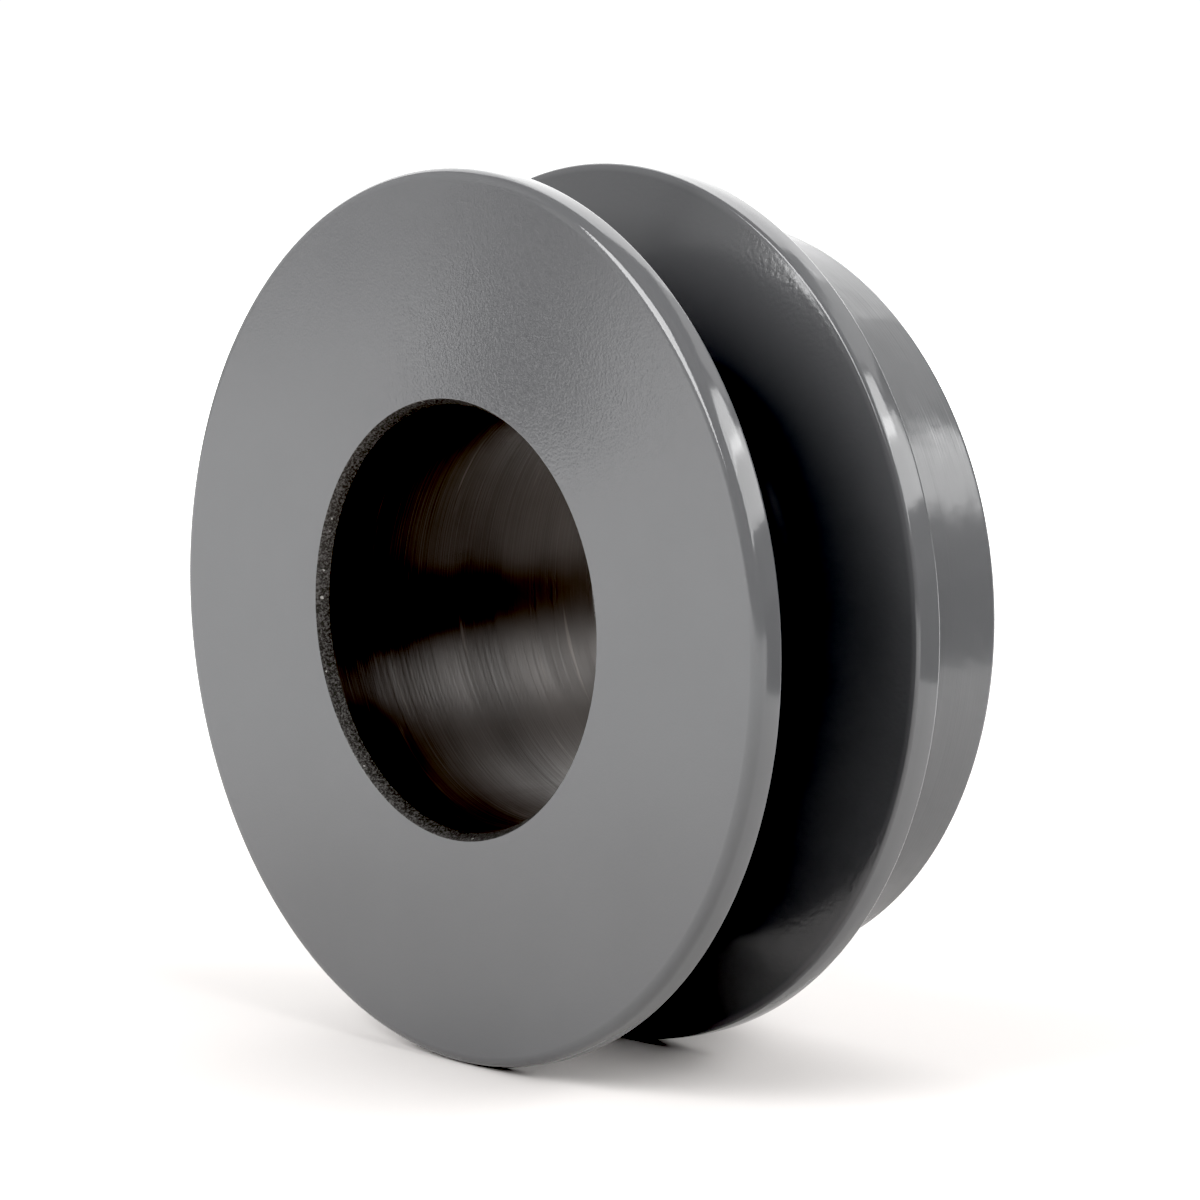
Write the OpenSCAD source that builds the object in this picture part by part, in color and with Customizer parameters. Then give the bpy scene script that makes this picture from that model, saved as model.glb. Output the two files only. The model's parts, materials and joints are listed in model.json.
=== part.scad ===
// V-belt pulley with a plain bore: one groove, a hub on one side, and two
// radial grub screws, each of which presses a brass pad on to the shaft.
// The axis lies along Y and the origin is on it, in the groove's middle plane.
// The plain face looks along -Y and the hub stands out along +Y.
// All sizes are in millimetres.

/* [Rim] */
// Outside diameter of the rim
rim_d = 84; // [82:0.5:110]
// Width of the land on each side of the groove
land_w = 2.9; // [2.5:0.1:6]
// Radius on the rim's edge at the plain face
face_edge_r = 1.1; // [0.3:0.1:2]
// Radius on the rim's edge at the hub side
back_edge_r = 0.35; // [0.2:0.05:1]

/* [Groove] */
// Width of the groove at the outside diameter
groove_top_w = 16.6; // [15:0.1:18]
// Depth of the groove below the outside diameter
groove_depth = 14.5; // [12:0.1:15]
// Angle between the two walls of the groove
groove_angle = 34; // [32:1:38]
// Radius where a wall meets the groove's floor
groove_root_r = 1.5; // [0.5:0.1:2]
// Radius where a wall meets its land
groove_edge_r = 0.25; // [0.2:0.05:0.6]

/* [Hub] */
// Diameter of the hub
hub_d = 72; // [68:0.5:76]
// How far the hub stands out behind the rim
hub_len = 13.3; // [12:0.1:30]
// Radius on the hub's outer edge
hub_edge_r = 0.8; // [0.3:0.1:2]
// Radius in the corner where the hub meets the rim
hub_fillet_r = 0.8; // [0.3:0.1:1.2]

/* [Bore] */
// Diameter of the plain bore
bore_d = 40; // [30:0.5:42]
// Radial width of the lead-in at each end of the bore
lead_in_w = 0.65; // [0.3:0.05:1.5]
// Depth of the lead-in along the bore
lead_in_depth = 1.2; // [0.5:0.1:2.5]

/* [Grub screws] */
// Nominal thread diameter of the screws
screw_d = 8; // [6:1:8]
// Length of each screw
screw_len = 8; // [6:0.5:9]
// Width across the flats of the hexagon socket
socket_af = 4; // [3:0.5:4]
// Depth of the hexagon socket
socket_depth = 4; // [3:0.5:4.5]
// Angle between the two screws around the bore
screw_spread = 120; // [60:5:150]
// How far round the axis the pair of screws is turned from the -X side
screw_turn = -9; // [-90:1:90]
// Length of each brass pad
pad_len = 3; // [2:0.5:3.5]
// Gap left between a pad and the shaft while the screws are slack
pad_gap = 0.5; // [0.2:0.1:1]

/* [Hidden] */
$fn = 96;

rim_r = rim_d / 2;
hub_r = hub_d / 2;
bore_r = bore_d / 2;
root_r = rim_r - groove_depth;
rim_half_w = land_w + groove_top_w / 2;
hub_end_y = rim_half_w + hub_len;

// Half of the groove's angle, and how far the path round the section turns
// where a land or the floor meets a wall.
wall_slope = groove_angle / 2;
corner_turn = 90 - wall_slope;
floor_half_w = groove_top_w / 2 - groove_depth * tan(wall_slope);

// The screws stand in the middle of the hub's own length. Each tilt is the
// turn about Y that takes a piece made along +Z to its screw's direction.
screw_y = rim_half_w + hub_len / 2;
upper_tilt = screw_turn + screw_spread / 2 - 90;
lower_tilt = screw_turn - screw_spread / 2 - 90;
screw_r = screw_d / 2;
thread_clearance = 0.05;
countersink = 0.5;
point_chamfer = 1.2;
rim_chamfer = 0.4;
pad_r = 0.4 * screw_d;
pad_start = bore_r + pad_gap;
screw_start = pad_start + pad_len;
arc_steps = 8;

// Points on an arc about a centre, from one angle to another.
function arc(centre, r, from, to) = [
    for (i = [0 : arc_steps])
        let (angle = from + (to - from) * i / arc_steps)
            centre + r * [cos(angle), sin(angle)]
];

// Distance from a corner of the groove to where its arc leaves the straight.
function corner_reach(r) = r * tan(corner_turn / 2);

// The same points on the other side of the groove's middle plane, in the
// order in which the path round the section meets them.
function mirrored(points) = [
    for (i = [len(points) - 1 : -1 : 0])
        [points[i].x, -points[i].y]
];

// The groove's edge and root on the plain face's side. Here and in the section
// below, x is the radius and y the place along the axis.
groove_side = concat(
    arc([rim_r - groove_edge_r, -groove_top_w / 2 - corner_reach(groove_edge_r)],
        groove_edge_r, 0, corner_turn),
    arc([root_r + groove_root_r, corner_reach(groove_root_r) - floor_half_w],
        groove_root_r, 180 + corner_turn, 180)
);

// The pulley's section from the bore out round the rim and back along the hub.
body_section = concat(
    [[bore_r, lead_in_depth - rim_half_w], [bore_r + lead_in_w, -rim_half_w]],
    arc([rim_r - face_edge_r, face_edge_r - rim_half_w], face_edge_r, -90, 0),
    groove_side,
    mirrored(groove_side),
    arc([rim_r - back_edge_r, rim_half_w - back_edge_r], back_edge_r, 0, 90),
    arc([hub_r + hub_fillet_r, rim_half_w + hub_fillet_r], hub_fillet_r, 270, 180),
    arc([hub_r - hub_edge_r, hub_end_y - hub_edge_r], hub_edge_r, 0, 90),
    [[bore_r + lead_in_w, hub_end_y], [bore_r, hub_end_y - lead_in_depth]]
);

// Stands a piece made along +Z on the axis, pointing out through the hub.
module radial(tilt) {
    translate([0, screw_y, 0])
        rotate([0, tilt, 0])
            children();
}

// A tapped hole from the bore out through the hub, with its countersink.
module tapped_hole() {
    hole_r = screw_r + thread_clearance;
    translate([0, 0, bore_r / 2])
        cylinder(h = hub_r, r = hole_r);
    translate([0, 0, hub_r - countersink])
        cylinder(h = 2 * countersink, r1 = hole_r, r2 = hole_r + 2 * countersink);
}

module pulley_body() {
    color("slategray")
        difference() {
            rotate([-90, 0, 0])
                rotate_extrude($fn = 180)
                    polygon(body_section);
            radial(upper_tilt)
                tapped_hole();
            radial(lower_tilt)
                tapped_hole();
        }
}

// A hexagon socket grub screw with a flat point. Its thread is shown as a
// plain cylinder at the crests.
module grub_screw(tilt) {
    color("dimgray")
        radial(tilt)
            translate([0, 0, screw_start])
                difference() {
                    rotate_extrude()
                        polygon([
                            [0, 0],
                            [screw_r - point_chamfer, 0],
                            [screw_r, point_chamfer],
                            [screw_r, screw_len - rim_chamfer],
                            [screw_r - rim_chamfer, screw_len],
                            [0, screw_len]
                        ]);
                    translate([0, 0, screw_len - socket_depth])
                        cylinder(h = socket_depth + 1, d = socket_af / cos(30), $fn = 6);
                }
}

// A short brass slug that slides in the tapped hole ahead of its screw.
module pad(tilt) {
    color("goldenrod")
        radial(tilt)
            translate([0, 0, pad_start])
                cylinder(h = pad_len, r = pad_r);
}

module upper_grub_screw() {
    grub_screw(upper_tilt);
}

module lower_grub_screw() {
    grub_screw(lower_tilt);
}

module upper_pad() {
    pad(upper_tilt);
}

module lower_pad() {
    pad(lower_tilt);
}

pulley_body();
upper_grub_screw();
upper_pad();
lower_grub_screw();
lower_pad();
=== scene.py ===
"""The V-belt pulley's visual model: turned body, threaded grub screws, brass pads, studio and camera."""

import json
import logging
import math
from dataclasses import dataclass, field
from enum import Enum
from typing import Sequence

import bmesh
import bpy
from mathutils import Matrix, Vector


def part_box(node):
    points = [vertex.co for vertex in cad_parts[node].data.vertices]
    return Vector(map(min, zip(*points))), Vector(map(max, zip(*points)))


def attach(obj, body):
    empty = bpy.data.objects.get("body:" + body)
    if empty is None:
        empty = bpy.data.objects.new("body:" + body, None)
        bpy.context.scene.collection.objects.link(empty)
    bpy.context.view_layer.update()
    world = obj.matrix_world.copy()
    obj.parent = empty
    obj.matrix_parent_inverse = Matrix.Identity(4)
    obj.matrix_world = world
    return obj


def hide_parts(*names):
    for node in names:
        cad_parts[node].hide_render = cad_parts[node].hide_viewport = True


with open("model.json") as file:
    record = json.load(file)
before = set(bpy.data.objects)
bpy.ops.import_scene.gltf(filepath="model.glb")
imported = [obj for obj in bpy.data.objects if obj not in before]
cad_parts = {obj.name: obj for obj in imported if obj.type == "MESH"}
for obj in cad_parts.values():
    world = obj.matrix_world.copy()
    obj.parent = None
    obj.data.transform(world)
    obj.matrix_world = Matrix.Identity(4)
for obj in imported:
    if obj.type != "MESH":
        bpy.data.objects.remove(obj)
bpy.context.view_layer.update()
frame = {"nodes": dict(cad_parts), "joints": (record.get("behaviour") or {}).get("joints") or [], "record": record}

MM = 0.001
FULL_TURN = 2 * math.pi
AXLE = Vector((0, 1, 0))
WELD = 1e-7
SHARP_ANGLE = math.radians(30)

log = logging.getLogger("pulley")


# ---------------------------------------------------------------- shader graph


class Value:
    """One number in a node tree. Python's operators on it add Math nodes."""

    def __init__(self, graph: "Graph", socket: bpy.types.NodeSocket) -> None:
        """Wraps an output socket of a graph."""
        self.graph = graph
        self.socket = socket

    def __add__(self, other: "Value | float") -> "Value":
        """This plus other."""
        return self.graph.math("ADD", self, other)

    def __sub__(self, other: "Value | float") -> "Value":
        """This minus other."""
        return self.graph.math("SUBTRACT", self, other)

    def __mul__(self, other: "Value | float") -> "Value":
        """This times other."""
        return self.graph.math("MULTIPLY", self, other)

    def __truediv__(self, other: "Value | float") -> "Value":
        """This divided by other."""
        return self.graph.math("DIVIDE", self, other)

    def __pow__(self, other: "Value | float") -> "Value":
        """This to the power of other."""
        return self.graph.math("POWER", self, other)

    def __radd__(self, other: float) -> "Value":
        """Other plus this."""
        return self.graph.math("ADD", other, self)

    def __rsub__(self, other: float) -> "Value":
        """Other minus this."""
        return self.graph.math("SUBTRACT", other, self)

    def __rmul__(self, other: float) -> "Value":
        """Other times this."""
        return self.graph.math("MULTIPLY", other, self)

    def ramp(self, low: float, high: float) -> "Value":
        """A smooth step from 0 where this is low to 1 where it is high."""
        node = self.graph.node(
            "ShaderNodeMapRange",
            {"interpolation_type": "SMOOTHSTEP"},
            {"Value": self, "From Min": low, "From Max": high},
        )
        return Value(self.graph, node.outputs["Result"])


class Graph:
    """A material's node tree, with one method that adds any node."""

    def __init__(self, tree: bpy.types.NodeTree) -> None:
        """Takes over a node tree and empties it."""
        self.tree = tree
        tree.nodes.clear()

    def node(self, kind: str, settings: dict, inputs: dict) -> bpy.types.Node:
        """Adds a node.

        Args:
            kind: the node's type name.
            settings: its attributes, which are set first.
            inputs: a value or a link for each named or numbered socket.

        Returns:
            The new node.
        """
        made = self.tree.nodes.new(kind)
        for name, value in settings.items():
            setattr(made, name, value)
        for name, value in inputs.items():
            socket = made.inputs[name]
            if isinstance(value, Value):
                self.tree.links.new(value.socket, socket)
            elif isinstance(value, bpy.types.NodeSocket):
                self.tree.links.new(value, socket)
            else:
                socket.default_value = value
        return made

    def math(self, operation: str, *terms: "Value | float") -> Value:
        """Adds a Math node on one to three terms and gives its result."""
        made = self.node("ShaderNodeMath", {"operation": operation}, dict(enumerate(terms)))
        return Value(self, made.outputs[0])

    def mix(self, factor: Value, low: Sequence[float] | bpy.types.NodeSocket,
            high: Sequence[float] | bpy.types.NodeSocket) -> bpy.types.NodeSocket:
        """Mixes two colours.

        Args:
            factor: 0 for low, 1 for high.
            low: a colour or a link to one.
            high: a colour or a link to one.

        Returns:
            The mixed colour's socket.
        """
        made = self.node("ShaderNodeMix", {"data_type": "RGBA"}, {"Factor": factor, 6: low, 7: high})
        return made.outputs[2]


class Place(Graph):
    """A graph that knows where a point lies on a turned piece: its radius and its place along the axis."""

    def __init__(self, tree: bpy.types.NodeTree) -> None:
        """Adds the coordinates that the finishes share."""
        super().__init__(tree)
        coordinates = self.node("ShaderNodeTexCoord", {}, {})
        self.point = coordinates.outputs["Object"]
        parts = self.node("ShaderNodeSeparateXYZ", {}, {"Vector": self.point})
        self.x, self.along, self.z = (Value(self, parts.outputs[axis]) for axis in "XYZ")
        self.radius = (self.x * self.x + self.z * self.z) ** 0.5

    def speckle(self, size: float, detail: float = 2.0, roughness: float = 0.5) -> Value:
        """Noise with spots of about a size in metres, the same in every direction."""
        made = self.node(
            "ShaderNodeTexNoise",
            {},
            {"Vector": self.point, "Scale": 1 / size, "Detail": detail, "Roughness": roughness},
        )
        return Value(self, made.outputs["Fac"])

    def turned(self, across: Value, width: float, length: float, detail: float = 2.0) -> Value:
        """Noise drawn out along the turning direction.

        Args:
            across: the coordinate that the tool fed along.
            width: the size of a mark across the feed, in metres.
            length: its length, as a share of the radius.
            detail: octaves of finer noise.

        Returns:
            The noise, about 0.5 on average.
        """
        ring = self.node(
            "ShaderNodeCombineXYZ",
            {},
            {"X": self.x / (self.radius * length), "Z": self.z / (self.radius * length)},
        )
        made = self.node(
            "ShaderNodeTexNoise",
            {"noise_dimensions": "4D"},
            {"Vector": ring.outputs[0], "W": across / width, "Scale": 1.0, "Detail": detail},
        )
        return Value(self, made.outputs["Fac"])

    def bump(self, height: Value, depth: float,
             below: bpy.types.NodeSocket | None = None) -> bpy.types.NodeSocket:
        """Adds a Bump node.

        Args:
            height: 0 for low, 1 for high.
            depth: the height of 1, in metres.
            below: a normal that this one adds to.

        Returns:
            The bumped normal's socket.
        """
        inputs: dict = {"Height": height, "Distance": depth, "Strength": 1.0}
        if below is not None:
            inputs["Normal"] = below
        return self.node("ShaderNodeBump", {}, inputs).outputs["Normal"]

    def shade(self, inputs: dict) -> None:
        """Ends the graph with one Principled shader that takes these inputs."""
        shader = self.node("ShaderNodeBsdfPrincipled", {}, inputs)
        self.node("ShaderNodeOutputMaterial", {}, {"Surface": shader.outputs[0]})


def new_place(name: str) -> tuple[bpy.types.Material, Place]:
    """A new material and its graph."""
    material = bpy.data.materials.new(name)
    material.use_nodes = True
    return material, Place(material.node_tree)


# -------------------------------------------------------------------- finishes


@dataclass(frozen=True)
class Enamel:
    """Dark grey enamel over turned iron.

    A fine stipple lies mostly on the face and a coarser peel mostly off it. The groove's walls have drops
    near the lip and are painted darker as painted shade, and the hub has waves and turning marks. Sizes, widths
    and depths are in metres.
    """

    rim_radius: float
    face_along: float
    back_along: float
    hub_end: float
    colour: tuple = (0.1255, 0.1265, 0.1305, 1)
    # Painted shade: how much darker the groove's walls and floor are painted than the rest of the enamel.
    groove_painted_shade: float = 0.2
    face_roughness: float = 0.05
    edge_roughness: float = 0.11
    wall_roughness: float = 0.16
    hub_roughness: float = 0.19
    cloud_size: float = 14 * MM
    stipple_size: float = 0.00024
    stipple_depth: float = 0.0000062
    peel_size: float = 0.0009
    peel_depth: float = 0.000005
    lip: float = 6 * MM
    lip_size: float = 0.00045
    lip_depth: float = 0.000013
    wave_size: float = 0.0035
    wave_depth: float = 0.00009
    streak_width: float = 0.00022
    streak_depth: float = 0.000018

    def material(self) -> bpy.types.Material:
        """The finish as a material."""
        material, g = new_place("grey_enamel")
        on_face = 1 - g.along.ramp(self.face_along + 0.15 * MM, self.face_along + 0.6 * MM)
        below_land = 1 - g.radius.ramp(self.rim_radius - 0.9 * MM, self.rim_radius - 0.4 * MM)
        on_hub = g.along.ramp(self.back_along, self.back_along + 0.3 * MM)
        on_wall = below_land * (1 - on_face) * (1 - on_hub)
        round_hub = on_hub * (1 - g.along.ramp(self.hub_end - 0.6 * MM, self.hub_end - 0.2 * MM))

        stipple = g.speckle(self.stipple_size, 1.0)
        cloud = g.speckle(self.cloud_size, 2.0)
        # The groove's walls and floor are painted darker here. This is painted shade in the groove, not a colour
        # of the paint.
        colour = g.node(
            "ShaderNodeVectorMath",
            {"operation": "SCALE"},
            {
                0: self.colour[:3],
                "Scale": (0.95 + 0.10 * cloud) * (1 - self.groove_painted_shade * on_wall),
            },
        ).outputs[0]

        roughness = self.edge_roughness + on_face * (self.face_roughness - self.edge_roughness)
        roughness = roughness + on_hub * (self.hub_roughness - self.edge_roughness)
        roughness = roughness + on_wall * (self.wall_roughness - self.edge_roughness)

        peel = g.bump(g.speckle(self.peel_size, 1.0) * (1 - 0.8 * on_face), self.peel_depth)
        lip_start = self.rim_radius - self.lip
        near_lip = on_wall * g.radius.ramp(lip_start, lip_start + 0.7 * self.lip)
        drops = g.bump(g.speckle(self.lip_size, 1.0) * near_lip, self.lip_depth, peel)
        waves = g.bump(g.speckle(self.wave_size, 1.0) * round_hub, self.wave_depth, drops)
        marks = g.turned(g.along, self.streak_width, 0.6, 2.0) * round_hub
        streaks = g.bump(marks, self.streak_depth, waves)
        normal = g.bump(stipple * (0.12 + 0.88 * on_face), self.stipple_depth, streaks)
        g.shade({"Base Color": colour, "Roughness": roughness, "Normal": normal, "Specular IOR Level": 0.6})
        return material


@dataclass(frozen=True)
class BareCut:
    """Freshly cut, slightly rough iron on the lead-ins, speckled and with a few chips of light metal."""

    dark: tuple = (0.058, 0.056, 0.054, 1)
    light: tuple = (0.155, 0.15, 0.146, 1)
    chip: tuple = (0.45, 0.44, 0.42, 1)
    spot_size: float = 0.00024
    ring_width: float = 0.00008
    chip_size: float = 0.0008
    depth: float = 0.00006

    def material(self) -> bpy.types.Material:
        """The finish as a material."""
        material, g = new_place("bare_lead_in")
        spots = g.speckle(self.spot_size, 3.0, 0.7)
        rings = g.turned(g.radius, self.ring_width, 0.6, 1.0)
        chips = g.speckle(self.chip_size, 3.0).ramp(0.70, 0.74)
        colour = g.mix(spots.ramp(0.42, 0.66), self.dark, self.light)
        colour = g.mix(chips, colour, self.chip)
        normal = g.bump(spots * 0.6 + rings * 0.4, self.depth)
        g.shade({
            "Base Color": colour,
            "Metallic": 0.6,
            "Roughness": 0.38 + 0.2 * spots,
            "Normal": normal,
        })
        return material


@dataclass(frozen=True)
class BoreSteel:
    """Smooth, dark, slightly brown bare metal in the bore, with faint rings from sliding on a shaft."""

    colour: tuple = (0.056, 0.049, 0.045, 1)
    stain: tuple = (0.042, 0.037, 0.034, 1)
    scratch: tuple = (0.24, 0.21, 0.19, 1)
    scratch_strength: float = 0.2
    roughness: float = 0.36
    ring_width: float = 0.00022
    ring_depth: float = 0.000014
    scratch_width: float = 0.0011
    stain_width: float = 6 * MM

    def material(self) -> bpy.types.Material:
        """The finish as a material."""
        material, g = new_place("bore_steel")
        rings = g.turned(g.along, self.ring_width, 1.2, 2.0)
        scratches = g.turned(g.along, self.scratch_width, 0.8, 4.0).ramp(0.62, 0.72)
        stains = g.turned(g.along, self.stain_width, 0.9, 3.0).ramp(0.35, 0.7)
        colour = g.mix(stains, self.colour, self.stain)
        colour = g.mix(scratches * self.scratch_strength, colour, self.scratch)
        g.shade({
            "Base Color": colour,
            "Metallic": 0.2,
            "Roughness": self.roughness + 0.3 * (rings - 0.5) + 0.06 * stains,
            "Normal": g.bump(rings, self.ring_depth),
        })
        return material


@dataclass(frozen=True)
class BlackenedSteel:
    """Black oxide on hardened steel, mottled, for the grub screws."""

    oxide: tuple = (0.018, 0.018, 0.020, 1)
    bloom: tuple = (0.075, 0.072, 0.070, 1)
    bloom_size: float = 0.0012
    grain_size: float = 0.00012
    grain_depth: float = 0.000008

    def material(self) -> bpy.types.Material:
        """The finish as a material."""
        material, g = new_place("blackened_steel")
        bloom = g.speckle(self.bloom_size, 4.0, 0.6)
        g.shade({
            "Base Color": g.mix(bloom.ramp(0.35, 0.75), self.oxide, self.bloom),
            "Metallic": 0.85,
            "Roughness": 0.34 + 0.22 * bloom,
            "Normal": g.bump(g.speckle(self.grain_size, 2.0), self.grain_depth),
        })
        return material


@dataclass(frozen=True)
class PadBrass:
    """Dull brass bar, finely marked by the tool that cut it."""

    fresh: tuple = (0.62, 0.42, 0.15, 1)
    tarnished: tuple = (0.33, 0.20, 0.07, 1)
    tarnish_size: float = 0.0011
    mark_size: float = 0.00015
    mark_depth: float = 0.000012

    def material(self) -> bpy.types.Material:
        """The finish as a material."""
        material, g = new_place("pad_brass")
        tarnish = g.speckle(self.tarnish_size, 4.0, 0.6)
        g.shade({
            "Base Color": g.mix(tarnish.ramp(0.3, 0.8), self.fresh, self.tarnished),
            "Metallic": 1.0,
            "Roughness": 0.3 + 0.25 * tarnish,
            "Normal": g.bump(g.speckle(self.mark_size, 2.0), self.mark_depth),
        })
        return material


@dataclass(frozen=True)
class PalePaint:
    """Matt pale paint for the floor, which glows away from the pulley until it is as white as the room, and is
    painted warmer and brighter near the pulley as painted light.
    """

    colour: tuple = (0.80, 0.80, 0.80, 1)
    # Painted light: the floor's warmer, brighter tone near the pulley, which fades out by far_radius.
    near: tuple = (0.85, 0.825, 0.81, 1)
    near_radius: float = 0.05
    far_radius: float = 0.25
    dull: tuple = (0.70, 0.69, 0.68, 1)
    glow_start: float = 0.045
    glow_full: float = 0.24
    glow: float = 1.0
    reflected_glow: float = 0.45

    def material(self) -> bpy.types.Material:
        """The finish as a material."""
        material, g = new_place("pale_floor")
        away = (g.x * g.x + g.along * g.along) ** 0.5
        rays = g.node("ShaderNodeLightPath", {}, {})
        seen, bounced = (Value(g, rays.outputs[name]) for name in ("Is Camera Ray", "Is Diffuse Ray"))
        share = self.reflected_glow + (1 - self.reflected_glow) * seen
        # Painted light: the floor is painted warmer and brighter round the pulley's foot, which lifts the shade
        # there.
        painted_light_tone = g.mix(away.ramp(self.near_radius, self.far_radius), self.near, self.colour)
        glow = g.mix(
            away.ramp(self.glow_start, self.glow_full) * share, (0, 0, 0, 1), (self.glow,) * 3 + (1,),
        )
        g.shade({
            "Base Color": g.mix(bounced, painted_light_tone, self.dull),
            "Roughness": 1.0,
            "Specular IOR Level": 0.0,
            "Emission Color": glow,
            "Emission Strength": 1.0,
        })
        return material


@dataclass(frozen=True)
class Cloth:
    """Cloth on the flags that shape the reflections, black or glowing grey."""

    name: str
    glow: float = 0.0

    def material(self) -> bpy.types.Material:
        """The finish as a material."""
        material, g = new_place(self.name)
        g.shade({
            "Base Color": (0.01, 0.01, 0.01, 1),
            "Roughness": 1.0,
            "Specular IOR Level": 0.0,
            "Emission Color": (self.glow,) * 3 + (1,),
            "Emission Strength": 1.0,
        })
        return material


# ----------------------------------------------------------------- mesh making


@dataclass(frozen=True)
class Corner:
    """A corner of a turned piece's outline."""

    radius: float
    along: float
    rounding: float = 0.0
    segments: int = 8


def turned_solid(outline: Sequence[Corner], steps: int) -> bmesh.types.BMesh:
    """Turns an outline round the Y axis.

    Args:
        outline: the corners in order. It closes on itself, or ends on the axis where it started there.
        steps: segments round the axis.

    Returns:
        The closed mesh, with its faces outwards.
    """
    mesh = bmesh.new()
    verts = [mesh.verts.new((corner.radius, corner.along, 0)) for corner in outline]
    on_axis = outline[0].radius == 0 and outline[-1].radius == 0
    following = verts[1:] if on_axis else verts[1:] + verts[:1]
    for start, end in zip(verts, following):
        mesh.edges.new((start, end))
    places = [vert.co.copy() for vert in verts]
    for index, corner in enumerate(outline):
        if not corner.rounding:
            continue
        before = places[index] - places[index - 1]
        after = places[(index + 1) % len(places)] - places[index]
        reach = corner.rounding * math.tan(before.angle(after) / 2)
        bmesh.ops.bevel(
            mesh, geom=[verts[index]], offset=reach, offset_type="OFFSET",
            segments=corner.segments, profile=0.5, affect="VERTICES", material=-1,
        )
    bmesh.ops.spin(
        mesh, geom=mesh.verts[:] + mesh.edges[:], cent=(0, 0, 0), axis=AXLE,
        angle=FULL_TURN, steps=steps, use_merge=True,
    )
    return closed(mesh)


def closed(mesh: bmesh.types.BMesh) -> bmesh.types.BMesh:
    """Merges doubles, drops faces with no area and turns the rest outwards."""
    bmesh.ops.remove_doubles(mesh, verts=mesh.verts, dist=WELD)
    bmesh.ops.dissolve_degenerate(mesh, edges=mesh.edges, dist=WELD)
    bmesh.ops.recalc_face_normals(mesh, faces=mesh.faces)
    return mesh


def prism(sides: int, radius: float, start: float, end: float) -> bmesh.types.BMesh:
    """A straight prism along Y.

    Args:
        sides: the number of its sides.
        radius: from the axis to a corner.
        start: where it starts along Y.
        end: where it ends along Y.

    Returns:
        The closed mesh.
    """
    mesh = bmesh.new()
    bmesh.ops.create_cone(
        mesh, cap_ends=True, segments=sides, radius1=radius, radius2=radius, depth=end - start,
    )
    bmesh.ops.rotate(mesh, verts=mesh.verts, matrix=Matrix.Rotation(math.pi / 2, 3, "X"))
    bmesh.ops.translate(mesh, verts=mesh.verts, vec=AXLE * (start + end) / 2)
    return closed(mesh)


def as_object(name: str, mesh: bmesh.types.BMesh,
              materials: Sequence[bpy.types.Material]) -> bpy.types.Object:
    """Makes an object of a bmesh and frees the bmesh.

    Args:
        name: the piece's name.
        mesh: its shape, in its place.
        materials: its material slots, in order.

    Returns:
        The object, in the scene's collection.
    """
    data = bpy.data.meshes.new(name)
    mesh.to_mesh(data)
    mesh.free()
    for material in materials:
        data.materials.append(material)
    made = bpy.data.objects.new(name, data)
    bpy.context.scene.collection.objects.link(made)
    return made


class Slot(Enum):
    """The body's material slots."""

    ENAMEL = 0
    LEAD_IN = 1
    BORE = 2


class Cut(Enum):
    """How a tool's shape changes a piece."""

    AWAY = "DIFFERENCE"
    COMMON = "INTERSECT"


def machine(piece: bpy.types.Object, tool: bpy.types.Object, cut: Cut) -> None:
    """Cuts a piece with a tool and takes the tool away.

    Args:
        piece: the object that is changed.
        tool: the object that cuts it, which is removed.
        cut: what is left.
    """
    modifier = piece.modifiers.new("cut", "BOOLEAN")
    modifier.operation = cut.value
    modifier.solver = "EXACT"
    modifier.material_mode = "INDEX"
    modifier.object = tool
    finished = piece.evaluated_get(bpy.context.evaluated_depsgraph_get())
    data = bpy.data.meshes.new_from_object(finished)
    piece.modifiers.clear()
    old = piece.data
    piece.data = data
    data.name = piece.name
    bpy.data.meshes.remove(old)
    bpy.data.objects.remove(tool)


def finish_shading(piece: bpy.types.Object) -> None:
    """Smooths a piece's round faces and keeps its flat faces flat."""
    piece.data.shade_smooth()
    piece.data.set_sharp_from_angle(angle=SHARP_ANGLE)
    weighted = piece.modifiers.new("flat_faces", "WEIGHTED_NORMAL")
    weighted.keep_sharp = True
    weighted.weight = 90


# ---------------------------------------------------------------- sub-assemblies


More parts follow.
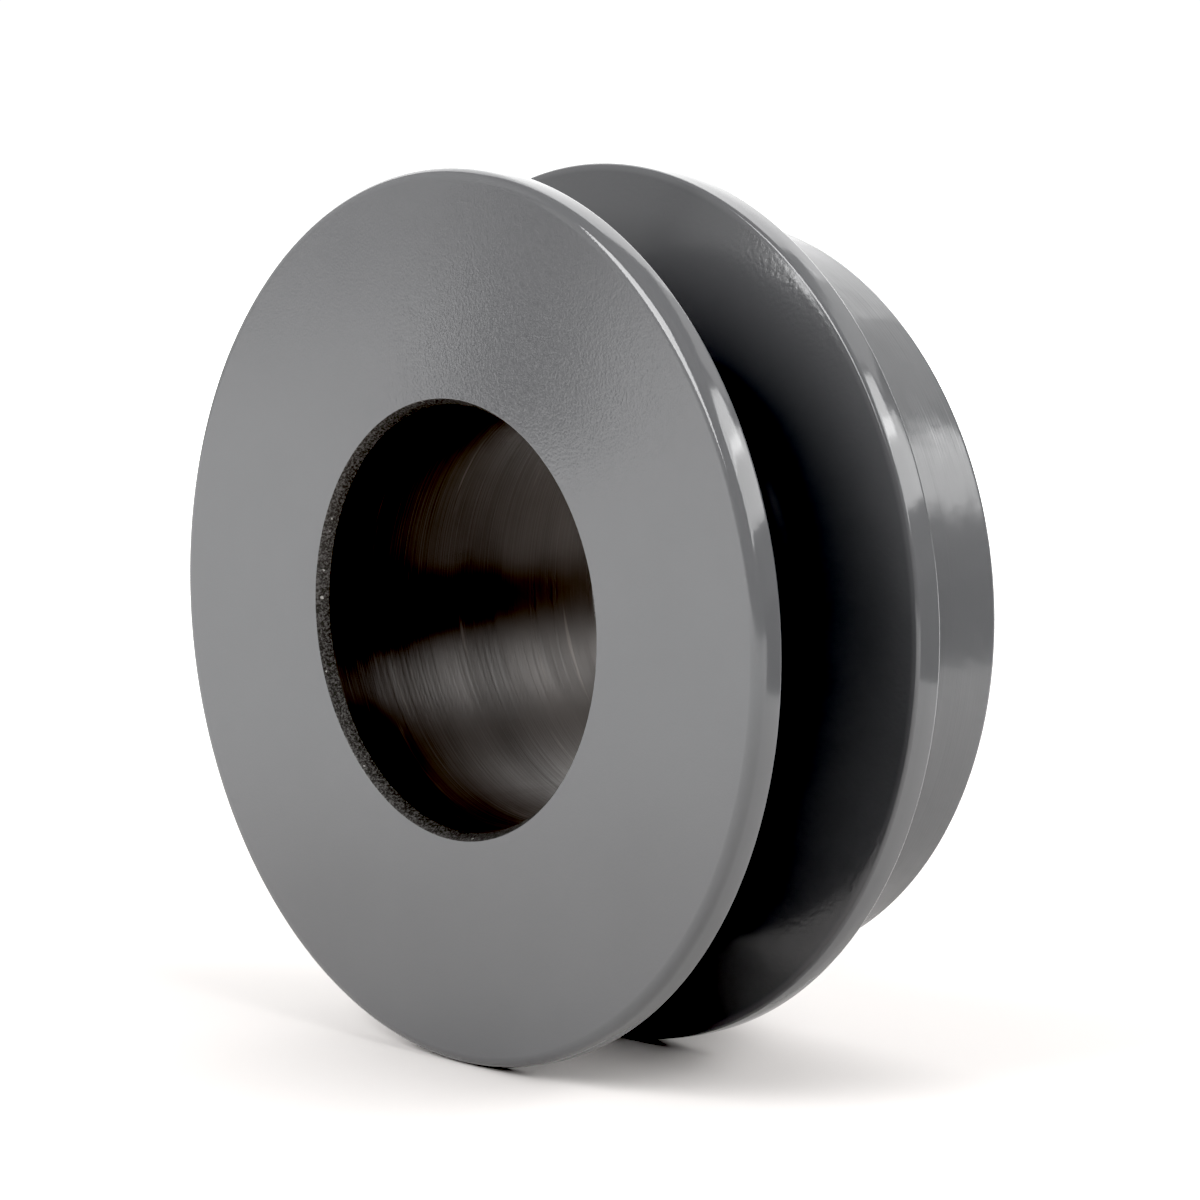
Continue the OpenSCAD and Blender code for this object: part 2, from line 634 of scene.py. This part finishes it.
@dataclass(frozen=True)
class Thread:
    """A metric thread, right-handed, along Y."""

    major_radius: float = 4.0 * MM
    pitch: float = 1.25 * MM
    crest_allowance: float = 0.04 * MM
    tooth_depth: float = 0.69 * MM
    crest_flat: float = 0.2 * MM
    tap_allowance: float = 0.07 * MM
    steps_per_turn: int = 48

    def rod(self, start: float, end: float, allowance: float = 0.0) -> bmesh.types.BMesh:
        """A threaded rod.

        Args:
            start: where it starts along Y.
            end: where it ends along Y.
            allowance: how much larger than the screw its radius is.

        Returns:
            The closed mesh.
        """
        crest = self.major_radius - self.crest_allowance + allowance
        root = crest - self.tooth_depth
        flank = self.tooth_depth * math.tan(math.radians(30))
        root_flat = self.pitch - self.crest_flat - 2 * flank
        tooth = (
            (root, 0),
            (root, root_flat / 2),
            (crest, root_flat / 2 + flank),
            (crest, root_flat / 2 + flank + self.crest_flat),
            (root, self.pitch - root_flat / 2),
            (root, self.pitch),
        )
        first_turn = math.floor(start / self.pitch) - 1
        turns = math.ceil(end / self.pitch) + 1 - first_turn
        mesh = bmesh.new()
        verts = [mesh.verts.new((radius, along + first_turn * self.pitch, 0)) for radius, along in tooth]
        for low, high in zip(verts, verts[1:]):
            mesh.edges.new((low, high))
        bmesh.ops.spin(
            mesh, geom=mesh.verts[:] + mesh.edges[:], cent=(0, 0, 0), axis=AXLE,
            dvec=AXLE * self.pitch / self.steps_per_turn, angle=FULL_TURN * turns,
            steps=self.steps_per_turn * turns,
        )
        bmesh.ops.remove_doubles(mesh, verts=mesh.verts, dist=WELD)
        for place, outwards in ((start, -1), (end, 1)):
            bmesh.ops.bisect_plane(
                mesh, geom=mesh.verts[:] + mesh.edges[:] + mesh.faces[:], dist=WELD,
                plane_co=AXLE * place, plane_no=AXLE * outwards, clear_outer=True,
            )
            rim = [edge for edge in mesh.edges if edge.is_boundary and self._level(edge, place)]
            bmesh.ops.edgeloop_fill(mesh, edges=rim)
        return closed(mesh)

    @staticmethod
    def _level(edge: bmesh.types.BMEdge, place: float) -> bool:
        """True if an edge lies across the axis at a place along it."""
        return all(abs(vert.co.y - place) < 10 * WELD for vert in edge.verts)


class Seat(Enum):
    """The two grub screws, by where each stands in the hub."""

    UPPER = "upper"
    LOWER = "lower"


@dataclass
class ScrewAxis:
    """The line that a grub screw and its pad stand on."""

    seat: Seat
    outward: Vector = field(init=False)
    foot: Vector = field(init=False)

    def __post_init__(self) -> None:
        """Reads the line from the screw's joint in the frame."""
        joint = next(j for j in frame["joints"] if j["name"] == f"{self.seat.value}_screw_turn")
        self.outward = Vector(joint["axis"]).normalized()
        centre = Vector(joint["pos_m"])
        self.foot = centre - self.outward * centre.dot(self.outward)

    def stand(self, mesh: bmesh.types.BMesh) -> bmesh.types.BMesh:
        """Moves a mesh made along Y so that it stands on this line."""
        turn = AXLE.rotation_difference(self.outward).to_matrix().to_4x4()
        bmesh.ops.transform(mesh, verts=mesh.verts, matrix=Matrix.Translation(self.foot) @ turn)
        return mesh

    def reach(self, node: str) -> tuple[float, float]:
        """How far along this line a CAD node starts and ends."""
        distances = [(vert.co - self.foot).dot(self.outward) for vert in frame["nodes"][node].data.vertices]
        return min(distances), max(distances)


@dataclass
class PulleyBody:
    """The turned body: rim, groove, hub and bore, with two tapped holes in the hub."""

    land_width: float = 2.9 * MM
    groove_width: float = 16.6 * MM
    groove_depth: float = 14.5 * MM
    groove_angle: float = math.radians(34)
    hub_radius: float = 36 * MM
    lead_in_width: float = 0.65 * MM
    lead_in_depth: float = 1.2 * MM
    lead_in_break: float = 0.08 * MM
    face_edge: float = 1.1 * MM
    back_edge: float = 0.45 * MM
    groove_edge: float = 0.4 * MM
    crown: float = 0.17 * MM
    crown_rounding: float = 7.5 * MM
    groove_root: float = 1.5 * MM
    hub_fillet: float = 0.8 * MM
    hub_edge: float = 0.8 * MM
    countersink: float = 0.5 * MM
    steps: int = 360
    node: str = "pulley_body"

    def __post_init__(self) -> None:
        """Takes the driving sizes from the frame."""
        low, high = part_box(self.node)
        self.face_along = low.y
        self.hub_end = high.y
        self.rim_radius = high.x
        self.back_along = self.face_along + self.groove_width + 2 * self.land_width
        self.middle = (self.face_along + self.back_along) / 2
        bore = next(m for m in frame["record"]["mounts"] if m["name"] == "bore")
        self.bore_radius = bore["dims"]["r_mm"] * MM

    def outline(self) -> list[Corner]:
        """The section from the bore out round the rim and back along the hub."""
        root = self.rim_radius - self.groove_depth
        half_top = self.groove_width / 2
        half_floor = half_top - self.groove_depth * math.tan(self.groove_angle / 2)
        lead_in = self.bore_radius + self.lead_in_width
        soft = self.lead_in_break
        return [
            Corner(self.bore_radius, self.face_along + self.lead_in_depth, soft, 2),
            Corner(lead_in, self.face_along, soft, 2),
            Corner(self.rim_radius - self.crown, self.face_along, self.face_edge, 10),
            Corner(self.rim_radius, self.face_along + 0.7 * self.land_width, self.crown_rounding, 6),
            Corner(self.rim_radius - 0.35 * self.crown, self.middle - half_top, self.groove_edge, 5),
            Corner(root, self.middle - half_floor, self.groove_root, 8),
            Corner(root, self.middle + half_floor, self.groove_root, 8),
            Corner(self.rim_radius - 0.5 * self.crown, self.middle + half_top, self.groove_edge, 5),
            Corner(self.rim_radius, self.back_along - self.land_width / 2, self.crown_rounding, 6),
            Corner(self.rim_radius - 0.4 * self.crown, self.back_along, self.back_edge, 5),
            Corner(self.hub_radius, self.back_along, self.hub_fillet, 6),
            Corner(self.hub_radius, self.hub_end, self.hub_edge, 8),
            Corner(lead_in, self.hub_end, soft, 2),
            Corner(self.bore_radius, self.hub_end - self.lead_in_depth, soft, 2),
        ]

    def finishes(self) -> list[bpy.types.Material]:
        """The enamel, the lead-ins' bare cut and the bore's steel, in slot order."""
        finish = {
            Slot.ENAMEL: Enamel(self.rim_radius, self.face_along, self.back_along, self.hub_end),
            Slot.LEAD_IN: BareCut(),
            Slot.BORE: BoreSteel(),
        }
        return [finish[slot].material() for slot in Slot]

    def dress_faces(self, mesh: bmesh.types.BMesh) -> None:
        """Gives each face its slot: enamel outside, bare cut on the lead-ins, steel in the bore."""
        for face in mesh.faces:
            centre = face.calc_center_median()
            radius = math.hypot(centre.x, centre.z)
            if radius < self.bore_radius + 0.02 * MM:
                face.material_index = Slot.BORE.value
            elif radius < self.bore_radius + self.lead_in_width - 0.005 * MM:
                face.material_index = Slot.LEAD_IN.value

    def tap(self, piece: bpy.types.Object, axis: ScrewAxis, thread: Thread) -> None:
        """Cuts a tapped hole and its countersink from the bore out through the hub.

        Args:
            piece: the pulley's object.
            axis: the hole's line.
            thread: the thread that is cut.
        """
        tap = thread.rod(self.bore_radius * 0.8, self.hub_radius + 2 * MM, thread.tap_allowance)
        mouth = thread.major_radius + 0.05 * MM
        cone = turned_solid(
            [
                Corner(0, self.hub_radius - self.countersink - mouth),
                Corner(mouth + 2 * self.countersink, self.hub_radius + self.countersink),
                Corner(0, self.hub_radius + self.countersink),
            ],
            64,
        )
        for name, mesh in (("tap", tap), ("countersink", cone)):
            for face in mesh.faces:
                face.material_index = Slot.BORE.value
            machine(piece, as_object(name, axis.stand(mesh), piece.data.materials), Cut.AWAY)

    def build(self, axes: Sequence[ScrewAxis], thread: Thread) -> bpy.types.Object:
        """Builds the body.

        Args:
            axes: the lines of the tapped holes.
            thread: the holes' thread.

        Returns:
            The finished piece, riding on its body.
        """
        mesh = turned_solid(self.outline(), self.steps)
        self.dress_faces(mesh)
        piece = as_object("turned_body", mesh, self.finishes())
        for axis in axes:
            self.tap(piece, axis, thread)
        finish_shading(piece)
        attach(piece, "pulley")
        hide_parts(self.node)
        return piece


@dataclass
class GrubScrew:
    """A threaded grub screw with a hexagon socket and a flat point."""

    axis: ScrewAxis
    thread: Thread
    finish: bpy.types.Material
    socket_flats: float = 4 * MM
    socket_depth: float = 4 * MM
    point_chamfer: float = 1.2 * MM
    rim_chamfer: float = 0.4 * MM
    drill_cone: float = 0.9 * MM

    def build(self) -> bpy.types.Object:
        """Builds the screw and gives the finished piece, riding on its body."""
        seat = self.axis.seat.value
        start, end = self.axis.reach(f"{seat}_grub_screw")
        radius = self.thread.major_radius
        rod = self.thread.rod(start - MM, end + MM)
        blank = turned_solid(
            [
                Corner(0, start),
                Corner(radius - self.point_chamfer, start, 0.1 * MM, 3),
                Corner(radius, start + self.point_chamfer),
                Corner(radius, end - self.rim_chamfer),
                Corner(radius - self.rim_chamfer, end, 0.08 * MM, 3),
                Corner(0, end),
            ],
            96,
        )
        floor = end - self.socket_depth
        socket = prism(6, self.socket_flats / math.sqrt(3), floor, end + MM)
        cone = turned_solid(
            [
                Corner(0, floor - self.drill_cone),
                Corner(self.socket_flats / 2, floor + 0.05 * MM),
                Corner(0, floor + 0.05 * MM),
            ],
            48,
        )
        piece = as_object(f"{seat}_screw", self.axis.stand(rod), [self.finish])
        machine(piece, as_object("blank", self.axis.stand(blank), []), Cut.COMMON)
        machine(piece, as_object("socket", self.axis.stand(socket), []), Cut.AWAY)
        machine(piece, as_object("cone", self.axis.stand(cone), []), Cut.AWAY)
        finish_shading(piece)
        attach(piece, f"{seat}_screw")
        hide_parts(f"{seat}_grub_screw")
        return piece


@dataclass
class Pad:
    """The soft brass slug between a screw and the shaft."""

    axis: ScrewAxis
    finish: bpy.types.Material
    radius: float = 3.2 * MM
    edge: float = 0.25 * MM
    steps: int = 72

    def build(self) -> bpy.types.Object:
        """Builds the pad and gives the finished piece, riding on its body."""
        seat = self.axis.seat.value
        start, end = self.axis.reach(f"{seat}_pad")
        mesh = turned_solid(
            [
                Corner(0, start),
                Corner(self.radius, start, self.edge, 4),
                Corner(self.radius, end, self.edge, 4),
                Corner(0, end),
            ],
            self.steps,
        )
        piece = as_object(f"{seat}_brass_pad", self.axis.stand(mesh), [self.finish])
        finish_shading(piece)
        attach(piece, f"{seat}_pad")
        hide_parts(f"{seat}_pad")
        return piece


# ---------------------------------------------------------------------- studio


def direction(azimuth: float, elevation: float) -> Vector:
    """The unit vector at an azimuth from +X towards +Y and an elevation, both in degrees."""
    turn, lift = math.radians(azimuth), math.radians(elevation)
    return Vector((math.cos(turn) * math.cos(lift), math.sin(turn) * math.cos(lift), math.sin(lift)))


@dataclass
class Softbox:
    """A rectangular soft light that looks at the pulley."""

    name: str
    azimuth: float
    elevation: float
    distance: float
    width: float
    height: float
    radiance: float

    def build(self) -> None:
        """Hangs the light."""
        data = bpy.data.lights.new(self.name, "AREA")
        data.shape = "RECTANGLE"
        data.size = self.width
        data.size_y = self.height
        data.energy = self.radiance * math.pi * self.width * self.height
        light = bpy.data.objects.new(self.name, data)
        bpy.context.scene.collection.objects.link(light)
        light.visible_camera = False
        outward = direction(self.azimuth, self.elevation)
        light.location = outward * self.distance
        light.rotation_euler = outward.to_track_quat("Z", "Y").to_euler()


@dataclass
class Flag:
    """An upright card that only reflections see."""

    name: str
    azimuth: float
    distance: float
    width: float
    bottom: float
    top: float
    lean: float = 0.0

    def build(self, cloth: bpy.types.Material) -> None:
        """Stands the card up, facing the pulley's axis, and leans it sideways about its foot."""
        mesh = bmesh.new()
        bmesh.ops.create_grid(mesh, x_segments=1, y_segments=1, size=0.5)
        bmesh.ops.scale(mesh, verts=mesh.verts, vec=(self.width, self.top - self.bottom, 1))
        bmesh.ops.rotate(mesh, verts=mesh.verts, matrix=Matrix.Rotation(math.pi / 2, 3, "X"))
        foot = Vector((0, 0, (self.bottom - self.top) / 2))
        bmesh.ops.rotate(
            mesh, verts=mesh.verts, cent=foot, matrix=Matrix.Rotation(math.radians(self.lean), 3, "Y"),
        )
        turn = Matrix.Rotation(math.radians(self.azimuth - 90), 3, "Z")
        bmesh.ops.rotate(mesh, verts=mesh.verts, matrix=turn)
        place = direction(self.azimuth, 0) * self.distance + Vector((0, 0, (self.top + self.bottom) / 2))
        bmesh.ops.translate(mesh, verts=mesh.verts, vec=place)
        card = as_object(self.name, mesh, [cloth])
        card.visible_camera = False
        card.visible_diffuse = False
        card.visible_shadow = False


@dataclass
class Studio:
    """A pale floor, a surround that is white to the camera only, soft lights and flags."""

    floor_level: float
    light_distance: float = 1.2
    stand_distance: float = 0.62
    stand_lean: float = -12.0
    floor_radius: float = 6.0
    white: float = 1.05
    dim: float = 0.22
    overhead: float = 0.18
    window: float = 0.6
    window_side: Vector = field(default_factory=lambda: direction(215, 8))
    black_level: float = 0.05

    def build_floor(self) -> None:
        """Lays the round floor."""
        mesh = bmesh.new()
        bmesh.ops.create_circle(mesh, cap_ends=True, segments=96, radius=self.floor_radius)
        bmesh.ops.translate(mesh, verts=mesh.verts, vec=(0, 0, self.floor_level))
        as_object("floor", mesh, [PalePaint().material()])

    def build_surround(self) -> None:
        """Sets the surround: white to the camera, otherwise dim, brighter overhead and on one side."""
        world = bpy.data.worlds.new("surround")
        world.use_nodes = True
        bpy.context.scene.world = world
        g = Graph(world.node_tree)
        facing = g.node("ShaderNodeTexCoord", {}, {}).outputs["Generated"]
        height = Value(g, g.node("ShaderNodeSeparateXYZ", {}, {"Vector": facing}).outputs["Z"])
        towards = Value(g, g.node(
            "ShaderNodeVectorMath", {"operation": "DOT_PRODUCT"}, {0: facing, 1: self.window_side},
        ).outputs["Value"])
        seen = Value(g, g.node("ShaderNodeLightPath", {}, {}).outputs["Is Camera Ray"])
        lit = self.dim + self.overhead * height.ramp(0.6, 0.95) + self.window * towards.ramp(0.6, 0.95)
        strength = seen * self.white + (1 - seen) * lit
        shader = g.node("ShaderNodeBackground", {}, {"Color": (1, 1, 1, 1), "Strength": strength})
        g.node("ShaderNodeOutputWorld", {}, {"Surface": shader.outputs[0]})

    def build_lights(self) -> None:
        """Hangs the softboxes and stands the flags."""
        away = self.light_distance
        Softbox("key", 259, 33, away, width=0.62, height=0.76, radiance=8.8).build()
        Softbox("right_low", 27, 29, away, width=1.39, height=0.385, radiance=4.6).build()
        Softbox("right_high", 18.5, 43, away, width=1.25, height=0.30, radiance=6.0).build()
        Softbox("rear_top", 78, 45, away, width=0.6, height=0.3, radiance=1.3).build()
        Softbox("rear", 140, 30, away, width=1.5, height=1.2, radiance=2.4).build()
        black = Cloth("black_cloth").material()
        grey = Cloth("grey_cloth", 0.5).material()
        floor, stand = self.floor_level, self.stand_distance
        Flag("rear_right_flag", 44, 0.19, 0.16, floor, 0.02).build(black)
        Flag("stand", 220.65, stand, 0.0175, floor, 0.6, self.stand_lean).build(black)
        Flag("stand_edge", 222.1, stand, 0.014, floor, 0.6, self.stand_lean).build(grey)

    def set_levels(self) -> None:
        """Shows the picture with plain colours and its blacks pulled down."""
        view = bpy.context.scene.view_settings
        view.view_transform = "Standard"
        view.use_curve_mapping = True
        view.curve_mapping.black_level = (self.black_level,) * 3
        view.curve_mapping.update()

    def build(self) -> None:
        """Builds the floor, the surround and the lights, and sets the levels."""
        self.build_floor()
        self.build_surround()
        self.build_lights()
        self.set_levels()


@dataclass
class Camera:
    """The view: a long lens a little above the axis, off to the face's right."""

    azimuth: float = math.radians(49.09)
    elevation: float = math.radians(7.18)
    distance: float = 0.4404
    aim: Vector = field(default_factory=lambda: Vector((8.9, -0.6, 1.9)) * MM)
    lens: float = 142.2
    sensor: float = 36.0

    def build(self) -> None:
        """Sets up the camera and makes it the scene's own."""
        back = Vector((
            math.sin(self.azimuth) * math.cos(self.elevation),
            -math.cos(self.azimuth) * math.cos(self.elevation),
            math.sin(self.elevation),
        ))
        data = bpy.data.cameras.new("camera")
        data.lens = self.lens
        data.sensor_width = self.sensor
        data.clip_start = 0.01
        camera = bpy.data.objects.new("camera", data)
        bpy.context.scene.collection.objects.link(camera)
        camera.location = self.aim + back * self.distance
        camera.rotation_euler = back.to_track_quat("Z", "Y").to_euler()
        bpy.context.scene.camera = camera


def main() -> None:
    """Builds the pulley's pieces, the studio and the camera, and reports each piece."""
    logging.basicConfig(level=logging.INFO, format="%(message)s")
    thread = Thread()
    axes = [ScrewAxis(seat) for seat in Seat]
    steel = BlackenedSteel().material()
    brass = PadBrass().material()
    body = PulleyBody()
    pieces = [body.build(axes, thread)]
    for axis in axes:
        pieces.append(GrubScrew(axis, thread, steel).build())
        pieces.append(Pad(axis, brass).build())
    Studio(-body.rim_radius).build()
    Camera().build()
    for piece in pieces:
        log.info("%s: %d faces", piece.name, len(piece.data.polygons))


if __name__ == "__main__":
    main()
